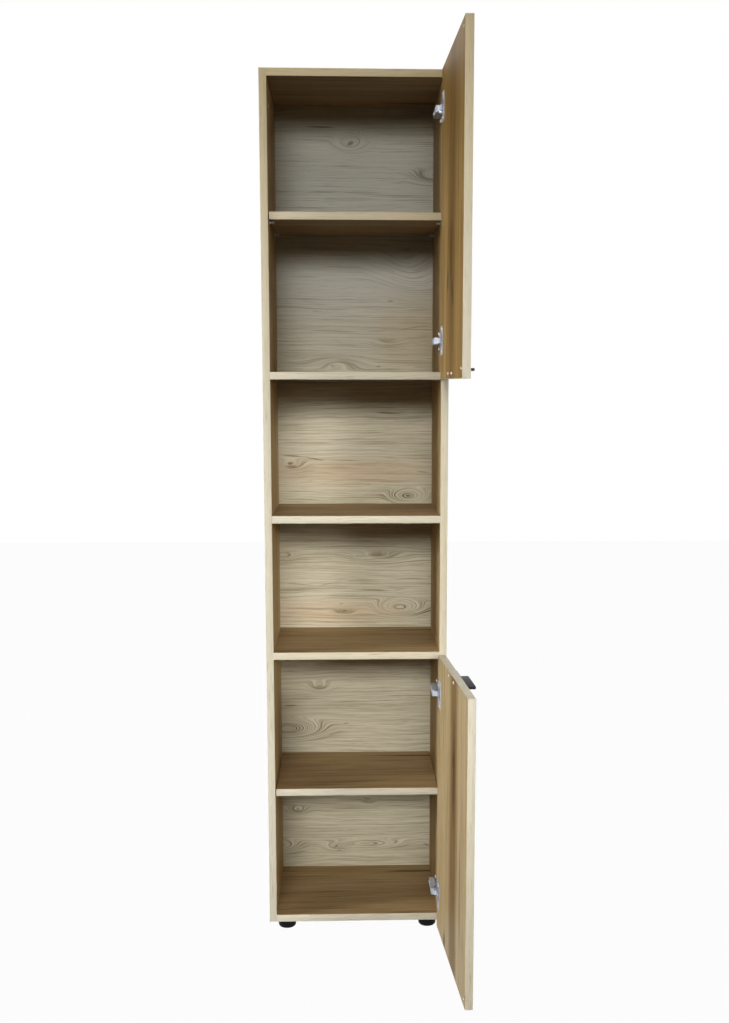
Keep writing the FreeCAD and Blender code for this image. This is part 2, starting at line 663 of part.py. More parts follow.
def plate(label, level):
    """The mounting plate: two wings on the side board and a rail for the arm."""
    made = body(label)
    near, far, corner = plateAt - 6, plateAt + 6, 3
    pad(made, outline(sketch(made, "YZ_Plane", 0), [
        (near, -plateWing + corner), (near + corner, -plateWing), (far - corner, -plateWing),
        (far, -plateWing + corner), (far, plateWing - corner), (far - corner, plateWing),
        (near + corner, plateWing), (near, plateWing - corner)]), plateThick, back=True)
    pad(made, box(sketch(made, "YZ_Plane", 0), railFront, -railHalf, armBack, railHalf),
        railHigh, back=True)
    pocket(made, rounds(sketch(made, "YZ_Plane", -plateThick),
                        [(plateAt, side, shank + fit) for side in (-plateScrew, plateScrew)]),
           plateThick, along=True)
    pocket(made, rounds(sketch(made, "YZ_Plane", -railHigh),
                        [(y, 0, armShank + fit) for y in (armScrewA, armScrewB)]),
           armScrewIn + spare, along=True)
    settle(made, innerX, frontY, level)


def link(label, level):
    """A bent link of folded sheet: two cheeks joined by a strap on the outside."""
    made = body(label)
    strap = linkBend - linkCheek
    over = linkEye * 2
    shape = sketch(made, "XY_Plane", -linkHalf)
    outline(shape, [(0, -linkEye), (linkNear, -linkBend), (linkFar, -linkBend),
                    (linkLength, -linkTip), (linkLength, linkTip), (linkFar, -linkWaist),
                    (linkNear, -linkWaist), (0, linkEye)])
    pad(made, shape, linkHalf * 2)
    pad(made, rounds(sketch(made, "XY_Plane", -linkHub), [(0, 0, linkEye)]), linkHub * 2)
    pad(made, rounds(sketch(made, "XY_Plane", -linkHalf), [(linkLength, 0, linkTip)]), linkHalf * 2)
    inside = sketch(made, "XY_Plane", linkHalf - linkCheek)
    far = linkLength - linkEye
    outline(inside, [(-over, over), (-over, -linkBend - 1), (linkEye, -linkBend - 1),
                     (linkEye, -linkEye), (linkNear, -strap), (linkFar, -strap), (far, -linkEye),
                     (far, -linkBend - 1), (linkLength + over, -linkBend - 1),
                     (linkLength + over, over)])
    pocket(made, inside, (linkHalf - linkCheek) * 2)
    pocket(made, rounds(sketch(made, "XY_Plane", linkHub), [(0, 0, pivotRadius + pivotPlay)]),
           linkHub * 2)
    pocket(made, rounds(sketch(made, "XY_Plane", linkHalf), [(linkLength, 0, pivotRadius + pivotFit)]),
           linkHalf * 2)
    settle(made, innerX - armX, frontY - armY, level, -linkAngle)


places = ("upper_top", "upper_bottom", "lower_top", "lower_bottom")
for name, level in zip(places, hinge_levels()):
    arm(name + "_hinge_arm", level)
    plate(name + "_hinge_plate", level)
    link(name + "_hinge_link", level)

linkTurn = Rotation(Vector(0, 0, 1), -num(linkAngle))
for name, levels in (("upper", hinge_levels()[:2]), ("lower", hinge_levels()[2:])):
    pins = []
    for level in levels:
        far = Vector(num(innerX - armX), num(frontY - armY), num(level))
        far += linkTurn.multVec(Vector(num(linkLength), 0, 0))
        pins.append(turned([(-cupPinHalf, pivotRadius), (cupPinHalf, pivotRadius)],
                           (far.x, far.y, far.z), (0, 0, 1)))
    group(name + "_cup_pins", pins)

group("hinge_arm_pins",
      [turned([(-armHalf - 0.3, pivotRadius), (armHalf + 0.3, pivotRadius)],
              (innerX - armX, frontY - armY, level), (0, 0, 1)) for level in hinge_levels()])
group("hinge_arm_screws",
      [screw(3.6, 1.6, armShank, armHigh - railHigh + armScrewIn,
             (innerX - armHigh, frontY + y, level), (1, 0, 0))
       for level in hinge_levels() for y in (armScrewA, armScrewB)])
group("hinge_plate_screws",
      [screw(3.6, 2, shank, plateScrewLength,
             (innerX - plateThick, frontY + plateAt, level + side), (1, 0, 0))
       for level in hinge_levels() for side in (-plateScrew, plateScrew)])


doc.recompute()
for item in doc.Objects:
    if "Invalid" in item.State or "Error" in item.State:
        raise ValueError("failed object " + item.Label)
labels = [piece.Label for piece in kept]
if len(set(labels)) != len(labels) or len(labels) > 60:
    raise ValueError("node names")
for piece in kept:
    if piece.Shape.isNull() or not piece.Shape.isValid():
        raise ValueError("bad shape " + piece.Label)
os.makedirs("parts", exist_ok=True)
for piece in kept:
    piece.Shape.exportStep("parts/%s.step" % piece.Label)
print("pieces", len(kept), "solids", sum(len(piece.Shape.Solids) for piece in kept))
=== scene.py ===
import json
import math

import bpy
from mathutils import Matrix, Vector


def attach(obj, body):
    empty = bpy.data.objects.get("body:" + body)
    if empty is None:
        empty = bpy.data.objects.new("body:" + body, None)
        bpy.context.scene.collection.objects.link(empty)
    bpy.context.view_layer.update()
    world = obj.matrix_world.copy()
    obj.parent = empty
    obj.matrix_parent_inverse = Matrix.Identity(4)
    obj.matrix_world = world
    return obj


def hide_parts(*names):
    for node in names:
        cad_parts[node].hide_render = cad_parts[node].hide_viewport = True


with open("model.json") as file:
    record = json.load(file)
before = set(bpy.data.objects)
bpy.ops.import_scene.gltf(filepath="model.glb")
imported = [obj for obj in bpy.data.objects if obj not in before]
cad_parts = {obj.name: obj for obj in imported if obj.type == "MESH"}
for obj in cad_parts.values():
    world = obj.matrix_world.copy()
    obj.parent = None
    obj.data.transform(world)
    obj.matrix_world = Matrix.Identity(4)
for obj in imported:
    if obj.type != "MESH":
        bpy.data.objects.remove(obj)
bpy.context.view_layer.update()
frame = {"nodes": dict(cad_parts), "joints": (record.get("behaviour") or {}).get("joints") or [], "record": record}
nodes = frame["nodes"]
joints = {joint["name"]: joint for joint in frame["joints"]}
print("frame loaded:", len(nodes), "pieces")


# small tools

def tone(red, green, blue):
    # a colour as a paint card gives it, 0 to 255, for a shader socket
    def linear(value):
        value = value / 255
        return value / 12.92 if value <= 0.04045 else ((value + 0.055) / 1.055) ** 2.4
    return (linear(red), linear(green), linear(blue), 1)


def deselectAll():
    if bpy.context.mode != "OBJECT":
        bpy.ops.object.mode_set(mode="OBJECT")
    bpy.ops.object.select_all(action="DESELECT")


def pick(piece):
    deselectAll()
    piece.select_set(True)
    bpy.context.view_layer.objects.active = piece


def edit(piece):
    pick(piece)
    bpy.ops.object.mode_set(mode="EDIT")
    bpy.ops.mesh.select_all(action="DESELECT")


def done():
    bpy.ops.object.mode_set(mode="OBJECT")


def selectFaces(piece, test):
    # faces whose centre and normal pass the test
    bpy.ops.object.mode_set(mode="OBJECT")
    for edge in piece.data.edges:
        edge.select = False
    for vertex in piece.data.vertices:
        vertex.select = False
    for face in piece.data.polygons:
        face.select = bool(test(face.center, face.normal))
    bpy.ops.object.mode_set(mode="EDIT")
    bpy.ops.mesh.select_mode(type="FACE")


def selectEdges(piece, test):
    # edges whose two ends pass the test
    bpy.ops.object.mode_set(mode="OBJECT")
    vertices = piece.data.vertices
    for face in piece.data.polygons:
        face.select = False
    for vertex in vertices:
        vertex.select = False
    for edge in piece.data.edges:
        edge.select = bool(test(vertices[edge.vertices[0]].co, vertices[edge.vertices[1]].co))
    bpy.ops.object.mode_set(mode="EDIT")
    bpy.ops.mesh.select_mode(type="EDGE")


def applyPlace(piece):
    pick(piece)
    bpy.ops.object.transform_apply(location=True, rotation=True, scale=True)


def soften(piece, width, segments=2, angle=35):
    # a small rounding on every sharp edge, as pressing and moulding leave it
    pick(piece)
    bevel = piece.modifiers.new("edges", "BEVEL")
    bevel.width = width
    bevel.segments = segments
    bevel.limit_method = "ANGLE"
    bevel.angle_limit = math.radians(angle)
    bevel.harden_normals = False
    bpy.ops.object.modifier_apply(modifier="edges")
    bpy.ops.object.shade_smooth_by_angle(angle=math.radians(angle))


def dress(piece, material):
    for slot in piece.material_slots:
        slot.material = material
    if not piece.material_slots:
        piece.data.materials.append(material)


def finishPiece(piece, material, body, replaced=()):
    piece.data.materials.clear()
    piece.data.materials.append(material)
    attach(piece, body)
    if replaced:
        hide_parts(*replaced)
    return piece


def joined(pieces, name):
    deselectAll()
    for piece in pieces:
        piece.select_set(True)
    bpy.context.view_layer.objects.active = pieces[0]
    if len(pieces) > 1:
        bpy.ops.object.join()
    pieces[0].name = name
    return pieces[0]


def copied(piece, place):
    made = piece.copy()
    made.data = piece.data.copy()
    made.data.transform(place)
    bpy.context.scene.collection.objects.link(made)
    return made


bodyOf = {}
for body, members in frame["record"]["behaviour"]["bodies"].items():
    for member in members:
        bodyOf[member] = body


# shader tools

def newMaterial(name, roughness, metallic=0.0, specular=0.5):
    material = bpy.data.materials.new(name)
    material.use_nodes = True
    shader = material.node_tree.nodes["Principled BSDF"]
    shader.inputs["Roughness"].default_value = roughness
    shader.inputs["Metallic"].default_value = metallic
    shader.inputs["Specular IOR Level"].default_value = specular
    return material, material.node_tree, shader


def add(tree, kind, inputs, output=0, **settings):
    made = tree.nodes.new("ShaderNode" + kind)
    for key, value in settings.items():
        setattr(made, key, value)
    for key, value in inputs.items():
        if isinstance(value, bpy.types.NodeSocket):
            tree.links.new(value, made.inputs[key])
        else:
            made.inputs[key].default_value = value
    return made.outputs[output]


def calc(tree, operation, *values):
    return add(tree, "Math", dict(enumerate(values)), operation=operation)


def noise(tree, vector, scale, detail=2.0, roughness=0.5):
    return add(tree, "TexNoise", {"Vector": vector, "Scale": scale, "Detail": detail, "Roughness": roughness})


def stretch(tree, vector, scale, offset=(0, 0, 0)):
    return add(tree, "Mapping", {"Vector": vector, "Scale": scale, "Location": offset})


def ramp(tree, factor, stops):
    made = tree.nodes.new("ShaderNodeValToRGB")
    tree.links.new(factor, made.inputs[0])
    elements = made.color_ramp.elements
    while len(elements) < len(stops):
        elements.new(0.5)
    for element, (position, colour) in zip(elements, stops):
        element.position = position
        element.color = colour
    return made.outputs[0]


def blendColour(tree, factor, first, second):
    return add(tree, "Mix", {0: factor, 6: first, 7: second}, output=2, data_type="RGBA")


def fade(tree, value, low, high, start=0.0, end=1.0):
    return add(tree, "MapRange", {"Value": value, "From Min": low, "From Max": high,
                                  "To Min": start, "To Max": end}, interpolation_type="SMOOTHSTEP")


def spot(tree, grain, place, size, tilt=0.0):
    # distance from an oval's centre: 0 in the middle, 1 on its rim
    oval = add(tree, "Mapping", {"Vector": grain, "Location": (place[0], place[1], 0),
                                 "Rotation": (0, 0, math.radians(tilt)), "Scale": (size[0], size[1], 1)},
               vector_type="TEXTURE")
    return add(tree, "VectorMath", {0: oval}, output=1, operation="LENGTH")


# the printed oak decor: growth lines and fibres follow a field that knots lift up

def oakDecor(name, look):
    roughness = look.get("roughness", 0.58)
    material, tree, shader = newMaterial(name, roughness, specular=0.14)
    axes = look["axes"]
    middle = add(tree, "TexCoord", {}, output=3)
    place = add(tree, "Mapping", {"Vector": middle, "Location": look.get("place", (0, 0, 0)),
                                  "Rotation": (0, 0, math.radians(look.get("turn", 0)))},
                vector_type="TEXTURE")
    split = tree.nodes.new("ShaderNodeSeparateXYZ")
    tree.links.new(place, split.inputs[0])
    along, straight, depth = [split.outputs["XYZ".index(letter)] for letter in axes]
    seed = look.get("seed", 0)

    # everything waves a little across the grain
    level = add(tree, "CombineXYZ", {0: along, 1: straight, 2: calc(tree, "MULTIPLY", depth, 2.0)})
    wave = noise(tree, stretch(tree, level, (7, 16, 5), (seed, 3 + seed, 0)), 1.0, 2.0, 0.5)
    waved = calc(tree, "SUBTRACT", wave, 0.5)
    across = calc(tree, "MULTIPLY_ADD", waved, look.get("wave", 0.008), straight)
    flat = add(tree, "CombineXYZ", {0: along, 1: across, 2: 0.0})

    # slow drift of the lines along the board, and the hills that the knots make
    drift = noise(tree, stretch(tree, level, (1.3, 5.5, 1.0), (seed, seed * 2.3, seed * 0.7)), 1.0, 2.0, 0.45)
    field = calc(tree, "MULTIPLY_ADD", drift, look.get("drift", 0.06), across)
    nearKnot = None
    for knot in look.get("knots", ()):
        radius = spot(tree, flat, knot["at"], knot["size"], knot.get("tilt", 0))
        field = calc(tree, "ADD", field, fade(tree, radius, 0.0, 1.0, knot["lift"], 0.0))
        if "shown" in knot:
            radius = spot(tree, flat, knot["shown"], knot["size"], knot.get("tilt", 0))
        close = fade(tree, radius, 0.2, 1.0, knot.get("rings", 0.6), 0.0)
        nearKnot = close if nearKnot is None else calc(tree, "MAXIMUM", nearKnot, close)

    # growth lines, long fibres, fine fibres, pores and clouds
    flow = add(tree, "CombineXYZ", {0: along, 1: field, 2: calc(tree, "MULTIPLY", depth, 4.0)})
    lines = noise(tree, stretch(tree, flow, (3.0, look.get("lines", 150), 1), (0, seed, 0)), 1.0, 3.0, 0.62)
    fibres = noise(tree, stretch(tree, flow, (10, 520, 20), (seed, 0, 0)), 1.0, 2.0, 0.6)
    fine = noise(tree, stretch(tree, flow, (18, 900, 20)), 1.0, 2.0, 0.55)
    pores = noise(tree, stretch(tree, flow, (26, 560, 20), (3, 5, 1)), 1.0, 1.0, 0.5)
    cloudSize = look.get("cloudSize", (1.6, 9, 1))
    clouds = noise(tree, stretch(tree, level, cloudSize, (7, 1 + seed, 0)), 1.0, 3.0, 0.5)
    mix = 0.0
    for value, share in zip((lines, fibres, fine, clouds), look.get("weights", (0.26, 0.30, 0.14, 0.30))):
        mix = calc(tree, "MULTIPLY_ADD", value, share, mix)
    colour = ramp(tree, mix, look["colours"])
    # patches of another tone; on the back panel the first one is painted cool light
    for tint in look.get("tints", ()):
        radius = spot(tree, level, tint["at"], tint["size"])
        colour = blendColour(tree, fade(tree, radius, 0.3, 1.0, tint["share"], 0.0), colour, tint["colour"])

    # late wood: broken lines everywhere, rings of uneven width near the knots
    broken = noise(tree, stretch(tree, flow, (8, 70, 4), (9, seed, 0)), 1.0, 2.0, 0.5)
    dark = calc(tree, "MULTIPLY", fade(tree, lines, 0.46, 0.36),
                fade(tree, broken, 0.36, 0.60, 0.0, look.get("late", 0.4)))
    dark = calc(tree, "MAXIMUM", dark, fade(tree, pores, 0.37, 0.29, 0.0, look.get("pores", 0.22)))
    if nearKnot is not None:
        rings = noise(tree, stretch(tree, flow, (9, 430, 1), (1, 2 + seed, 0)), 1.0, 1.0, 0.4)
        ring = calc(tree, "MULTIPLY", fade(tree, rings, 0.48, 0.40),
                    fade(tree, fibres, 0.66, 0.44, 0.35, 1.35))
        dark = calc(tree, "MAXIMUM", dark, calc(tree, "MULTIPLY", ring, nearKnot))

    # cracks, knot hearts and single long lines
    fray = calc(tree, "MULTIPLY", calc(tree, "SUBTRACT", fibres, 0.5), 1.6)
    for x, y, long, thick, tilt, share in look.get("strokes", ()):
        radius = spot(tree, flat, (x, y), (long, thick), tilt)
        edge = calc(tree, "MULTIPLY_ADD", fray, fade(tree, radius, 0.0, 1.0, 0.2, 1.0), radius)
        dark = calc(tree, "MAXIMUM", dark, fade(tree, edge, 1.15, 0.35, 0.0, share))
    colour = blendColour(tree, dark, colour, look["darkest"])

    # unbanded ends and hidden faces show what the board is made of
    if "raw" in look:
        facing = tree.nodes.new("ShaderNodeSeparateXYZ")
        tree.links.new(add(tree, "TexCoord", {}, output=1), facing.inputs[0])
        turnedTo = facing.outputs["XYZ".index(look["raw"]["axis"])]
        if look["raw"].get("bothSides"):
            turnedTo = calc(tree, "ABSOLUTE", turnedTo)
        chips = noise(tree, middle, look["raw"]["chips"], 3.0, 0.65)
        bare = ramp(tree, chips, look["raw"]["colours"])
        colour = blendColour(tree, calc(tree, "GREATER_THAN", turnedTo, 0.9), colour, bare)
    tree.links.new(colour, shader.inputs["Base Color"])
    bump = add(tree, "Bump", {"Strength": look.get("relief", 0.25), "Distance": 0.0004,
                              "Height": calc(tree, "MULTIPLY_ADD", pores, 0.5, fine)})
    tree.links.new(bump, shader.inputs["Normal"])
    gloss = fade(tree, fibres, 0.2, 0.8, roughness + 0.06, roughness - 0.06)
    tree.links.new(gloss, shader.inputs["Roughness"])
    return material


def shades(middle, spread):
    # a ramp of wood tones round one colour, darker to lighter by the given step
    stops = ((0.34, -1.6), (0.45, -0.6), (0.52, 0.0), (0.60, 0.6), (0.70, 1.1))
    return [(place, tone(*[value + step * amount for value, amount in zip(middle, spread)]))
            for place, step in stops]


chipboard = {"axis": "Z", "bothSides": True, "chips": 420,
             "colours": [(0.35, tone(120, 92, 58)), (0.5, tone(172, 142, 98)), (0.65, tone(205, 180, 136))]}
hardboard = {"axis": "Y", "chips": 260,
             "colours": [(0.35, tone(122, 92, 62)), (0.5, tone(136, 104, 72)), (0.65, tone(150, 118, 84))]}

backLook = {
    "axes": "XZY", "seed": 2.0, "drift": 0.05, "lines": 400, "late": 0.46, "pores": 0.24,
    "weights": (0.20, 0.44, 0.18, 0.18), "raw": hardboard,
    "colours": shades((186, 178, 154), (22, 22, 24)), "darkest": tone(98, 84, 58), "roughness": 0.62,
    "tints": [
        # painted cool light: a grey wash over the two upper compartments, where the light falls cooler
        {"at": (-0.05, 1.62), "size": (0.60, 0.46), "colour": tone(174, 175, 167), "share": 0.7},
        {"at": (-0.013, 1.033), "size": (0.32, 0.045), "colour": tone(182, 150, 116), "share": 0.45},
        {"at": (-0.060, 0.690), "size": (0.26, 0.045), "colour": tone(184, 154, 118), "share": 0.45},
        {"at": (0.150, 1.36), "size": (0.16, 0.13), "colour": tone(176, 156, 118), "share": 0.40},
    ],
    "knots": [
        {"at": (-0.009, 1.794), "size": (0.055, 0.030), "lift": 0.050, "shown": (-0.002, 1.790), "rings": 0.6},
        {"at": (0.190, 1.718), "size": (0.085, 0.030), "lift": 0.030, "shown": (0.165, 1.718), "rings": 0.5},
        {"at": (0.134, 1.495), "size": (0.130, 0.075), "lift": 0.034, "tilt": -16, "rings": 0.22},
        {"at": (0.080, 1.338), "size": (0.070, 0.020), "lift": 0.012, "rings": 0.5},
        {"at": (-0.040, 1.296), "size": (0.100, 0.030), "lift": -0.020, "rings": 0.35},
        {"at": (-0.157, 1.045), "size": (0.060, 0.026), "lift": 0.026, "shown": (-0.140, 1.045), "rings": 0.6},
        {"at": (0.128, 0.972), "size": (0.070, 0.028), "lift": 0.044, "shown": (0.100, 0.972), "rings": 0.75},
        {"at": (0.052, 0.826), "size": (0.110, 0.022), "lift": 0.014, "rings": 0.5},
        {"at": (-0.172, 0.828), "size": (0.045, 0.014), "lift": 0.012, "rings": 0.5},
        {"at": (0.108, 0.700), "size": (0.085, 0.032), "lift": 0.052, "shown": (0.150, 0.700), "rings": 0.9},
        {"at": (-0.030, 0.690), "size": (0.050, 0.014), "lift": 0.010, "rings": 0.5},
        {"at": (-0.089, 0.503), "size": (0.045, 0.024), "lift": 0.020, "rings": 0.5},
        {"at": (-0.165, 0.392), "size": (0.125, 0.040), "lift": 0.060, "shown": (-0.115, 0.392), "rings": 0.75},
        {"at": (-0.147, 0.186), "size": (0.046, 0.020), "lift": 0.018, "rings": 0.6},
        {"at": (-0.190, 0.092), "size": (0.075, 0.028), "lift": 0.030, "shown": (-0.160, 0.092), "rings": 0.7},
        {"at": (-0.047, 0.086), "size": (0.055, 0.020), "lift": 0.018, "rings": 0.6},
        {"at": (0.030, 0.095), "size": (0.150, 0.022), "lift": 0.026, "shown": (0.095, 0.095), "rings": 0.7},
        {"at": (0.031, 0.208), "size": (0.030, 0.014), "lift": 0.008, "rings": 0.45},
    ],
    "strokes": [
        # middle along and across, half length, half thickness, tilt in degrees, darkness
        (-0.078, 1.830, 0.040, 0.0019, 0, 0.70), (-0.009, 1.794, 0.010, 0.0045, 20, 0.70),
        (0.008, 1.716, 0.178, 0.0013, 0, 0.40),
        (-0.057, 1.669, 0.019, 0.0013, -1, 0.45), (0.135, 1.667, 0.051, 0.0013, 0, 0.45),
        (-0.027, 1.515, 0.058, 0.0013, -1, 0.40), (-0.113, 1.492, 0.036, 0.0013, 0, 0.40),
        (-0.125, 1.441, 0.058, 0.0014, -1, 0.50), (0.014, 1.438, 0.080, 0.0013, -1, 0.35),
        (0.084, 1.436, 0.010, 0.0018, -1, 0.60), (0.144, 1.417, 0.040, 0.0013, 3, 0.40),
        (-0.049, 1.366, 0.069, 0.0014, -1, 0.50), (0.056, 1.367, 0.036, 0.0013, 4, 0.45),
        (0.138, 1.375, 0.047, 0.0013, 6, 0.45), (-0.055, 1.286, 0.006, 0.0018, -14, 0.60),
        (0.056, 1.283, 0.007, 0.0018, 2, 0.60), (0.079, 1.174, 0.037, 0.0022, 0, 0.85),
        (-0.153, 1.072, 0.030, 0.0018, -4, 0.80), (-0.099, 1.065, 0.029, 0.0016, -10, 0.70),
        (-0.027, 1.060, 0.048, 0.0014, -1, 0.65), (-0.153, 1.045, 0.016, 0.0050, -6, 0.60),
        (0.162, 1.033, 0.021, 0.0020, -8, 0.55), (-0.120, 0.985, 0.059, 0.0013, -1, 0.45),
        (0.013, 0.830, 0.045, 0.0013, 1, 0.50), (0.069, 0.824, 0.070, 0.0013, 3, 0.50),
        (-0.137, 0.760, 0.043, 0.0014, -6, 0.45), (-0.060, 0.762, 0.034, 0.0014, 11, 0.45),
        (0.024, 0.770, 0.050, 0.0014, 2, 0.50), (0.132, 0.773, 0.051, 0.0013, -1, 0.55),
        (0.044, 0.745, 0.044, 0.0018, 0, 0.85), (0.106, 0.747, 0.020, 0.0014, 6, 0.50),
        (-0.035, 0.711, 0.008, 0.0017, 4, 0.60), (0.045, 0.685, 0.134, 0.0012, 1, 0.40),
        (-0.089, 0.503, 0.020, 0.0060, 0, 0.50), (-0.162, 0.458, 0.019, 0.0019, 0, 0.80),
        (0.023, 0.467, 0.161, 0.0013, 2, 0.50), (0.125, 0.381, 0.058, 0.0013, -1, 0.45),
        (-0.024, 0.409, 0.009, 0.0016, 8, 0.60), (0.128, 0.199, 0.056, 0.0013, 3, 0.50),
        (-0.024, 0.191, 0.052, 0.0013, 1, 0.40), (-0.147, 0.186, 0.014, 0.0050, 0, 0.50),
        (-0.145, 0.079, 0.035, 0.0014, 6, 0.50), (-0.055, 0.090, 0.008, 0.0018, 14, 0.70),
        (-0.043, 0.081, 0.007, 0.0017, -8, 0.60), (0.176, 0.094, 0.008, 0.0020, -24, 0.70),
    ],
}
# the sides' tone is partly the print's own colour and partly painted shade: darker and browner for the grazing
# light on their inner faces
sideLook = {
    "axes": "ZYX", "seed": 5.0, "drift": 0.05, "lines": 130, "cloudSize": (1.1, 14, 3), "raw": chipboard,
    "colours": shades((168, 140, 94), (20, 20, 20)), "darkest": tone(96, 74, 46),
    "knots": [
        {"at": (0.78, 0.03), "size": (0.16, 0.045), "lift": 0.040, "rings": 0.4},
        {"at": (1.52, -0.05), "size": (0.20, 0.050), "lift": 0.040, "rings": 0.4},
    ],
    "strokes": [(0.85, 0.02, 0.22, 0.006, 0, 0.5), (1.35, -0.06, 0.16, 0.005, 0, 0.5),
                (0.35, 0.05, 0.14, 0.005, 0, 0.45), (1.70, 0.08, 0.10, 0.003, 0, 0.5)],
}
# the shelves' tone is partly the print's own colour and partly painted shade: set darker for their shaded
# undersides and the grazing light on them
shelfLook = {
    "axes": "XYZ", "seed": 8.0, "drift": 0.05, "lines": 110, "cloudSize": (1.3, 12, 3),
    "colours": shades((158, 132, 92), (24, 24, 23)), "darkest": tone(78, 58, 34),
    "raw": dict(chipboard, axis="Y"),
    "strokes": [(0.150, 0.105, 0.100, 0.008, 1, 0.85), (-0.080, -0.115, 0.120, 0.005, 0, 0.35)],
}


def doorLook(name, middle, seed, knots, strokes, tints):
    joint = joints[name + "_door_hinge"]
    return {
        "axes": "ZXY", "seed": seed, "drift": 0.03, "lines": 90, "cloudSize": (1.0, 13, 3),
        "wave": 0.010, "pores": 0.3,
        "place": (joint["pos_m"][0], joint["pos_m"][1], 0), "turn": -joint["range_deg"][0],
        "weights": (0.30, 0.24, 0.12, 0.34), "colours": shades(middle, (22, 22, 22)),
        "darkest": tone(66, 46, 24), "late": 0.5, "knots": knots, "strokes": strokes, "tints": tints,
    }


# the upper door's tone is partly the print's own colour and partly painted shade: darker and browner than the
# lower door's, for the weaker light on its inner face
upperDoorLook = doorLook("upper", (160, 128, 74), 11.0, [
    {"at": (1.46, -0.150), "size": (0.17, 0.040), "lift": 0.024, "rings": 0.5},
    {"at": (1.74, -0.250), "size": (0.22, 0.050), "lift": 0.024, "rings": 0.4},
], [
    (1.452, -0.131, 0.030, 0.014, 0, 1.0), (1.421, -0.215, 0.032, 0.016, 3, 0.95),
    (1.500, -0.185, 0.110, 0.013, 2, 0.8), (1.700, -0.300, 0.200, 0.008, 0, 0.6),
    (1.780, -0.090, 0.090, 0.005, 0, 0.4),
], [
    {"at": (1.78, -0.200), "size": (0.95, 0.085), "colour": tone(100, 73, 34), "share": 0.85},
    {"at": (1.55, -0.080), "size": (1.4, 0.040), "colour": tone(178, 148, 100), "share": 0.5},
    {"at": (1.90, -0.200), "size": (0.34, 0.50), "colour": tone(112, 82, 32), "share": 0.6},
])
lowerDoorLook = doorLook("lower", (188, 166, 124), 14.0, [
    {"at": (0.445, -0.222), "size": (0.26, 0.050), "lift": 0.024, "rings": 0.5},
    {"at": (0.031, -0.108), "size": (0.08, 0.030), "lift": 0.016, "rings": 0.6},
], [
    (0.445, -0.222, 0.140, 0.020, 0, 0.85), (0.470, -0.214, 0.036, 0.012, 0, 1.0),
    (0.031, -0.108, 0.026, 0.014, 0, 0.95), (0.230, -0.310, 0.160, 0.008, 0, 0.5),
    (0.560, -0.080, 0.090, 0.005, 0, 0.35),
], [
    {"at": (0.35, -0.215), "size": (1.6, 0.070), "colour": tone(124, 96, 58), "share": 0.9},
    {"at": (0.35, -0.330), "size": (1.2, 0.060), "colour": tone(194, 172, 136), "share": 0.4},
])

backOak = oakDecor("backOak", backLook)
sideOak = oakDecor("sideOak", sideLook)
shelfOak = oakDecor("shelfOak", shelfLook)
upperDoorOak = oakDecor("upperDoorOak", upperDoorLook)
lowerDoorOak = oakDecor("lowerDoorOak", lowerDoorLook)
print("oak decor ready")


# the pale edge band: fine fibres and a soft mottle, with painted shade that makes it darker and yellower towards
# the top

# the top tone and the heights where it comes in are painted shade for the weaker light at the top
bandLook = {"light": tone(203, 196, 177), "warm": tone(194, 185, 160), "late": tone(164, 149, 116),
            "paintedTopShade": tone(196, 178, 136), "paintedShadeFrom": 1.15, "paintedShadeTo": 2.1, "roughness": 0.5}


def edgeBand(name, stretchBy):
    material, tree, shader = newMaterial(name, bandLook["roughness"], specular=0.2)
    middle = add(tree, "TexCoord", {}, output=3)
    clouds = noise(tree, stretch(tree, middle, [value * 0.06 for value in stretchBy]), 1.0, 3.0, 0.5)
    fibres = noise(tree, stretch(tree, middle, stretchBy), 1.0, 2.0, 0.6)
    colour = blendColour(tree, fade(tree, clouds, 0.3, 0.7), bandLook["light"], bandLook["warm"])
    split = tree.nodes.new("ShaderNodeSeparateXYZ")
    tree.links.new(middle, split.inputs[0])
    # painted shade: from 1.15 m up the band turns darker and yellower, as the light falls off towards the top
    paintedShadeAmount = fade(tree, split.outputs[2], bandLook["paintedShadeFrom"], bandLook["paintedShadeTo"], 0.0, 1.0)
    colour = blendColour(tree, paintedShadeAmount, colour, bandLook["paintedTopShade"])
    colour = blendColour(tree, fade(tree, fibres, 0.46, 0.30, 0.0, 0.55), colour, bandLook["late"])
    tree.links.new(colour, shader.inputs["Base Color"])
    bump = add(tree, "Bump", {"Strength": 0.2, "Distance": 0.0003, "Height": fibres})
    tree.links.new(bump, shader.inputs["Normal"])
    return material


bandUpright = edgeBand("bandUpright", (620, 620, 22))
bandAcross = edgeBand("bandAcross", (22, 620, 620))


# plated and painted metal, moulded plastic

def speckled(name, base, worn, roughness, metallic, scale, specular=0.5, relief=0.1):
    material, tree, shader = newMaterial(name, roughness, metallic, specular)
    middle = add(tree, "TexCoord", {}, output=3)
    grain = noise(tree, middle, scale, 3.0, 0.6)
    colour = blendColour(tree, fade(tree, grain, 0.35, 0.7), base, worn)
    tree.links.new(colour, shader.inputs["Base Color"])
    rough = fade(tree, grain, 0.3, 0.7, roughness - 0.06, roughness + 0.08)
    tree.links.new(rough, shader.inputs["Roughness"])
    bump = add(tree, "Bump", {"Strength": relief, "Distance": 0.0002, "Height": grain})
    tree.links.new(bump, shader.inputs["Normal"])
    return material


